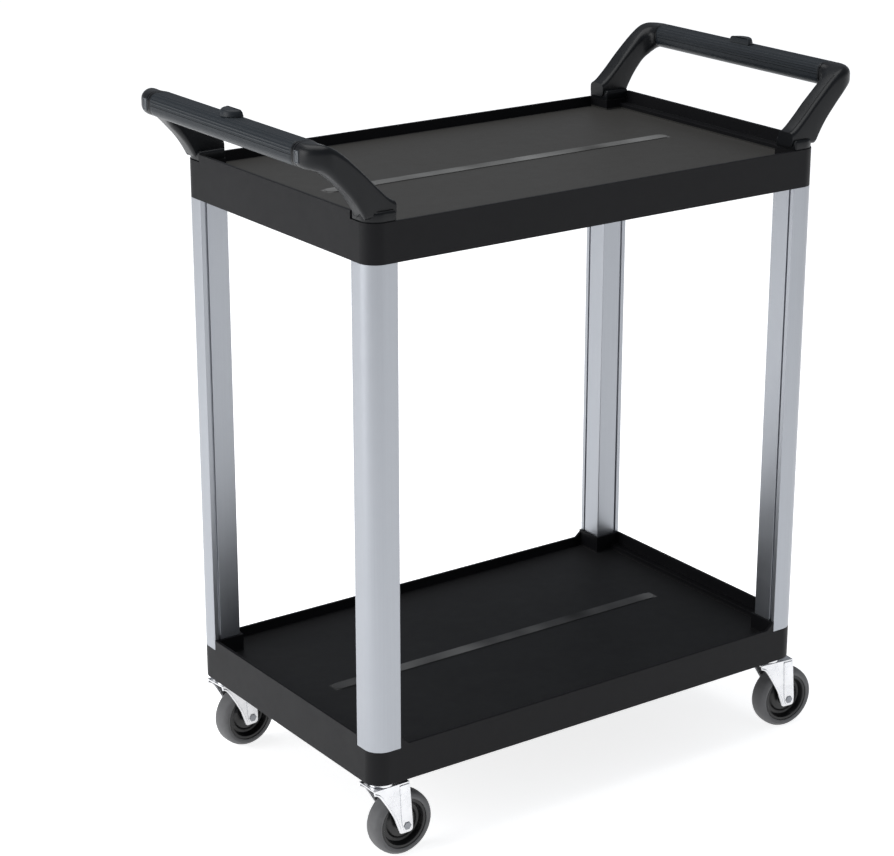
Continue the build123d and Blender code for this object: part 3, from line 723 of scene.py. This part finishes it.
# %% Half shells with ribs
def half_shell(end, half, ribs, depth):
    """Rings of one half shell along the bar; half is 1 for the upper and -1 for the lower shell.

    Each skin point is drawn in by the lip at that ring plus depth * (0.5 - 0.5 cos(2 pi ribs s)) ** 0.6,
    where s is its share of the ring's length; the grooves fade out near both long edges.
    """
    across, tall = bar_depth / 2, (bar_top - bar_bottom) / 2
    radius, gap, thick = 10.8 * MM, 0.25 * MM, 3.0 * MM
    path = rounded([(across, -tall), (across, tall), (-across, tall), (-across, -tall)],
                   [1 * MM, radius, radius, 1 * MM], steps=24)[24:72]
    path = np.concatenate([[(across, gap)], path, [(-across, gap)]])
    step = np.linalg.norm(np.diff(path, axis=0), axis=1)
    length = np.concatenate([[0], np.cumsum(step)])
    even = np.linspace(0, length[-1], 26 * ribs + 1 if ribs else 60)
    curve = np.column_stack([np.interp(even, length, path[:, k]) for k in (0, 1)])
    tangent = np.gradient(curve, axis=0)
    normal = np.column_stack([-tangent[:, 1], tangent[:, 0]]) / np.linalg.norm(tangent, axis=1)[:, None]
    wave = depth * (0.5 - 0.5 * np.cos(2 * math.pi * ribs * even / length[-1])) ** 0.6
    keep = np.clip(np.minimum(even, length[-1] - even) / (4 * MM), 0, 1)
    inner = curve[::-3] + normal[::-3] * thick
    centre_x, centre_z = (bar_outer + bar_inner) / 2, (bar_top + bar_bottom) / 2
    # each ring: its distance inside the grip's end, how far the skin draws in there, and whether it is ribbed
    front = [(0.0, 1.0, 0), (0.2, 0.3, 0), (1.0, 0.0, 0), (5.0, 0.0, 1)]
    rows = [(from_end * MM - grip_end, lip * MM, rib) for from_end, lip, rib in front]
    rows += [(-y, lip, rib) for y, lip, rib in rows[::-1]]
    rings = []
    for y, lip, rib in rows:
        skin = curve + normal * (lip + rib * wave * keep)[:, None]
        loop = np.concatenate([skin, inner])
        rings.append(np.column_stack([end * (centre_x + loop[:, 0]), np.full(len(loop), y),
                                      centre_z + half * loop[:, 1]]))
    return np.stack(rings)


for end_name, end in ENDS.items():
    for level, half, ribs, depth in (("top", 1, 15, 0.7 * MM), ("bottom", -1, 0, 0.0)):
        node = f"grip_{level}_{end_name}"
        grip = build(f"{node}_shell", [stitch(half_shell(end, half, ribs, depth))], node, 60.0)
        print(grip.name, "faces:", len(grip.data.polygons))

# %% [markdown]
# ## Clips and snap tabs
# A half-moon sits on the middle of each bar, and a small tab closes a window just past each end of the
# grip. The half-moon is an upright shape with a rounded top edge; each tab gets a pillow-like face with
# soft edges.

# %% Half-moon clips and tabs
for end_name, end in ENDS.items():
    low, high = box(f"grip_clip_{end_name}")
    flat_x, tip_x = (low[0], high[0]) if end > 0 else (high[0], low[0])
    radius = (high[1] - low[1]) / 2
    angle = np.linspace(-math.pi / 2, math.pi / 2, 41)
    arc = np.column_stack([flat_x + end * abs(tip_x - flat_x) * np.cos(angle), radius * np.sin(angle)])
    outline = arc if end > 0 else arc[::-1]
    levels = [(low[2], 0.0), (low[2] + 2.0 * MM, 0.1 * MM), (high[2] - 2.2 * MM, 1.2 * MM),
              (high[2] - 1.0 * MM, 2.0 * MM), (high[2] - 0.3 * MM, 3.2 * MM), (high[2], 5.0 * MM)]
    build(f"grip_clip_{end_name}_cap", [stitch(tower(outline, levels))], f"grip_clip_{end_name}", 50.0)

    low, high = box(f"snap_tabs_{end_name}")
    tab_width, shells = 9.0 * MM, []
    for side in (-1, 1):
        middle_y, middle_z = side * (high[1] - tab_width / 2), (low[2] + high[2]) / 2
        half_y, half_z = tab_width / 2, (high[2] - low[2]) / 2
        outline = rounded([(-half_y, -half_z), (half_y, -half_z), (half_y, half_z), (-half_y, half_z)],
                          [1.2 * MM] * 4)
        face = end * (abs(low[0] + high[0]) / 2 + (high[0] - low[0]) / 2)
        depths = np.array([(-1.5, 0.0), (0.35, 0.0), (0.75, 0.4), (0.75, 1.0), (0.1, 1.6)]) * MM
        rings = []
        for out, shrink in depths:
            across, upward = inset(outline, shrink).T
            rings.append(np.column_stack([np.full(len(outline), face + end * out), middle_y + across,
                                          middle_z + upward]))
        shells.append(stitch(np.stack(rings)))
    build(f"snap_tabs_{end_name}_faces", shells, f"snap_tabs_{end_name}", 40.0)
    print("clip and snap tabs on the", end_name, "handle:", 1 + len(shells))

# %% [markdown]
# ## Wheels
# A wheel is round, so one half section tells it all. The hub has a boss, a cone, a step and a rim; the tyre
# has a flat side ring, a fine line near its edge and a rounded tread. Each profile is a row of radius and
# width pairs that is turned round the axle; the last point joins the first, so the skin is closed.


# %% Turned pieces
def turned(profile, centre, axis, segments=120):
    """Rings of a profile of (radius, offset along the axis) pairs turned round an axis.

    Each point is centre + radius * (cos(angle) up + sin(angle) sideways) + offset * axis.
    """
    axis = np.asarray(axis, float) / np.linalg.norm(axis)
    upward = np.array([0.0, 0.0, 1.0])
    sideways = np.cross(upward, axis)
    angle = np.linspace(0, 2 * math.pi, segments, endpoint=False)[:, None, None]
    spoke = np.cos(angle) * upward + np.sin(angle) * sideways
    radius, offset = np.asarray(profile)[None, :, 0, None], np.asarray(profile)[None, :, 1, None]
    return np.asarray(centre) + radius * spoke + offset * axis


def mirrored(half):
    """A closed profile from its half on the positive side of the wheel."""
    half = np.asarray(half, float)
    return np.concatenate([half, half[::-1] * (1, -1)])


def joints_of(kind):
    """The joints of one kind, swivel or roll, by the place of their caster."""
    return {joint["name"].split("_", 1)[1]: joint for joint in frame["joints"]
            if joint["name"].startswith(kind)}


swivels, rolls = joints_of("swivel"), joints_of("roll")
HUB = mirrored([(5.1, 15.0), (8.6, 15.0), (9.6, 14.0), (10.6, 6.7), (11.4, 6.5), (19.2, 6.5), (20.2, 6.0),
                (21.8, 3.9), (22.6, 3.5), (26.4, 3.5), (27.2, 4.0), (29.4, 10.6), (30.0, 11.5), (31.0, 11.8),
                (33.0, 11.8), (34.0, 11.5)]) * MM
TYRE = mirrored([(34.0, 12.6), (34.6, 13.1), (37.2, 13.4), (37.6, 13.0), (38.1, 13.0), (38.5, 13.2),
                 (40.6, 12.0), (42.2, 10.2), (43.2, 8.0), (43.8, 4.5), (44.0, 0.5)]) * MM
for place in PLACES:
    centre, axis = np.array(rolls[place]["pos_m"]), np.array(rolls[place]["axis"])
    build(f"hub_{place}_moulding", [stitch(turned(HUB, centre, axis), loop=True)], f"hub_{place}", 38.0)
    build(f"tyre_{place}_tread", [stitch(turned(TYRE, centre, axis), loop=True)], f"tyre_{place}", 38.0)
    print("wheel", place, "axle height in mm:", round(centre[2] / MM, 1))

# %% [markdown]
# ## Forks
# Each fork is one blank of sheet steel, pressed so that its edges are rounded by the bend and a lip stands
# out along the swept front edge to stiffen the leg. The solid gives the plain shape, so a copy with its
# edges rounded is the blank. The lip is a thin rounded strip laid along the front edge of each leg. The
# rear half of each leg is pressed outward by the sheet's thickness, which is a flat pad with a bend line in
# front of it.


# %% Forks and their lips
def front_edge(share):
    """Points of the leg's front edge in the fork's own plane: distance along the trail and height."""
    knots = [0.0, 0.32, 1.0]
    trail = hermite(share, knots, np.array([-20.5, -9.0, 17.5]) * MM, np.array([50.0, 34.0, 16.0]) * MM)
    height = hermite(share, knots, np.array([100.0, 90.5, 38.0]) * MM, np.array([-14.0, -52.0, -72.0]) * MM)
    return trail, height


def in_fork(pivot, trail, across, along, out, height):
    """Points given by distance along the trail, distance out to the side, and height above the floor."""
    points = pivot * (1, 1, 0) + along[..., None] * trail + np.asarray(out)[..., None] * across
    points[..., 2] = height
    return points


LIP_HALF_WIDTH, LIP_HALF_THICKNESS, LIP_OUT = 1.7 * MM, 1.5 * MM, 17.4 * MM
# the pad's outline: distance along the trail and height, with the radius at each corner
PAD_CORNERS = [(16.5, 102.5), (19.0, 50.0), (22.5, 36.0), (35.5, 36.0), (36.0, 46.0), (31.6, 102.5)]
PAD_RADII = [2.0, 40.0, 4.0, 4.5, 30.0, 2.0]
PAD = rounded(np.array(PAD_CORNERS) * MM, np.array(PAD_RADII) * MM, steps=8)
PAD_LEVELS = np.array([(17.2, 0.0), (18.3, 0.0), (18.9, 0.3), (19.1, 0.9)]) * MM
angle = np.linspace(0, 2 * math.pi, 12, endpoint=False)
edge = np.column_stack(front_edge(np.linspace(0, 1, 40)))
run = np.gradient(edge, axis=0)
run /= np.linalg.norm(run, axis=1)[:, None]
normal = np.column_stack([run[:, 1], -run[:, 0]])
lip = edge[:, None, :] + LIP_HALF_WIDTH * np.cos(angle)[None, :, None] * normal[:, None, :]
for place in PLACES:
    pivot, centre = np.array(swivels[place]["pos_m"]), np.array(rolls[place]["pos_m"])
    trail = (centre - pivot) * (1, 1, 0)
    trail /= np.linalg.norm(trail)
    across = np.array([-trail[1], trail[0], 0.0])
    softened(f"fork_{place}_pressing", f"fork_{place}", 0.9 * MM, 3, 50.0)
    shells = []
    for side in (-1, 1):
        out = side * LIP_OUT + LIP_HALF_THICKNESS * np.sin(angle) * np.ones((len(lip), 1))
        shells.append(stitch(in_fork(pivot, trail, across, lip[..., 0], out, lip[..., 1])))
    for side in (-1, 1):
        rings = []
        for out, shrink in PAD_LEVELS:
            flat = inset(PAD, shrink)
            sideways = np.full(len(flat), side * out)
            rings.append(in_fork(pivot, trail, across, flat[:, 0], sideways, flat[:, 1]))
        shells.append(stitch(np.stack(rings)))
    build(f"fork_{place}_lips", shells, f"fork_{place}", 40.0)
    print("fork", place, "lips and pads:", len(shells))

# %% [markdown]
# ## Mounting plates and axle bolts
# The plate under the tray is stamped and the bolt is cold-forged, so neither has a sharp edge. Their solids
# have the right shape, and a small radius on every edge is enough.

# %% Plates and bolts
for place in PLACES:
    plate = softened(f"plate_{place}_pressing", f"caster_stem_{place}", 0.6 * MM, 2, 50.0)
    bolt = softened(f"bolt_{place}_forging", f"axle_bolt_{place}", 0.5 * MM, 2, 50.0)
    print(plate.name, bolt.name)

# %% [markdown]
# ## Floor and light
# The studio is a pale floor with a large soft light overhead, a weaker one from the left and a faint one in
# front. The floor glows a little, so that it stays almost white and the shadows under the casters stay soft.

# %% Floor and light
FLOOR_REACH = 60.0
floor_mesh = bpy.data.meshes.new("floor")
corners = [(-1, -1), (1, -1), (1, 1), (-1, 1)]
floor_mesh.from_pydata([(x * FLOOR_REACH, y * FLOOR_REACH, 0) for x, y in corners], [], [(0, 1, 2, 3)])
floor = bpy.data.objects.new("floor", floor_mesh)
bpy.context.scene.collection.objects.link(floor)
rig.stage(floor)
paper = Finish("floor_paper", roughness=0.9, specular_ior_level=0.1, emission_strength=0.80)
fibre = paper.noise(400.0, 3.0)
floor_mesh.materials.append(
    paper.feed(base_color=paper.blend(fibre, srgb(238, 238, 238), srgb(243, 243, 243)),
               emission_color=paper.blend(fibre, srgb(250, 250, 250), srgb(255, 255, 255)),
               normal=paper.bump(fibre, 0.0001)))


def softbox(name, place, target, size, power):
    """A square area light at a place, turned to face a target."""
    data = bpy.data.lights.new(name, "AREA")
    data.shape = "SQUARE"
    data.size = size
    data.energy = power
    lamp = bpy.data.objects.new(name, data)
    bpy.context.scene.collection.objects.link(lamp)
    lamp.location = place
    lamp.rotation_euler = (Vector(target) - Vector(place)).to_track_quat("-Z", "Y").to_euler()
    return lamp


middle = (0.0, 0.0, 0.5)
softbox("key", (-0.4, 0.5, 3.6), middle, 2.8, 70.0)
softbox("side", (-3.2, 0.9, 1.5), middle, 2.0, 50.0)
softbox("front", (1.6, -3.4, 1.0), middle, 0.9, 5.0)
world = bpy.data.worlds.new("studio")
world.use_nodes = True
sky = world.node_tree.nodes["Background"]
sky.inputs["Color"].default_value = srgb(240, 246, 255)
sky.inputs["Strength"].default_value = 0.28
bpy.context.scene.world = world
bpy.context.scene.view_settings.view_transform = "Standard"
print("lights:", [lamp.name for lamp in bpy.context.scene.objects if lamp.type == "LIGHT"])

# %% [markdown]
# ## Camera
# The camera stands in front and to the left. A long lens from about three and a half metres keeps the
# upright posts close to parallel, and the far end looks little smaller than the near end. Yaw is counted
# from +Y towards +X, and pitch downward, so the gaze is (sin yaw cos pitch, cos yaw cos pitch, -sin pitch).

# %% Camera
camera_data = bpy.data.cameras.new("camera")
camera = bpy.data.objects.new("camera", camera_data)
bpy.context.scene.collection.objects.link(camera)
bpy.context.scene.camera = camera
yaw, pitch = math.radians(35.2), math.radians(19.2)
camera.location = (-1.885, -2.546, 1.560)
gaze = Vector((math.sin(yaw) * math.cos(pitch), math.cos(yaw) * math.cos(pitch), -math.sin(pitch)))
camera.rotation_euler = gaze.to_track_quat("-Z", "Y").to_euler()
camera_data.sensor_width = 36.0
camera_data.lens = 100.95
camera_data.clip_end = 200.0
print("camera to trolley in m:", round(camera.location.length, 2))

# %% [markdown]
# ## Measure and hand over
# The box round everything is measured once more after dressing. It should match the engineering model's own
# box within a millimetre, since every piece was placed from it.

# %% Measure and finish
visual_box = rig.bounds()
print("visual box:", [[round(c, 4) for c in v] for v in visual_box])
with open("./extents.json", "w") as file:
    json.dump({"cad": [list(v) for v in cad_box], "visual": [list(v) for v in visual_box]}, file)
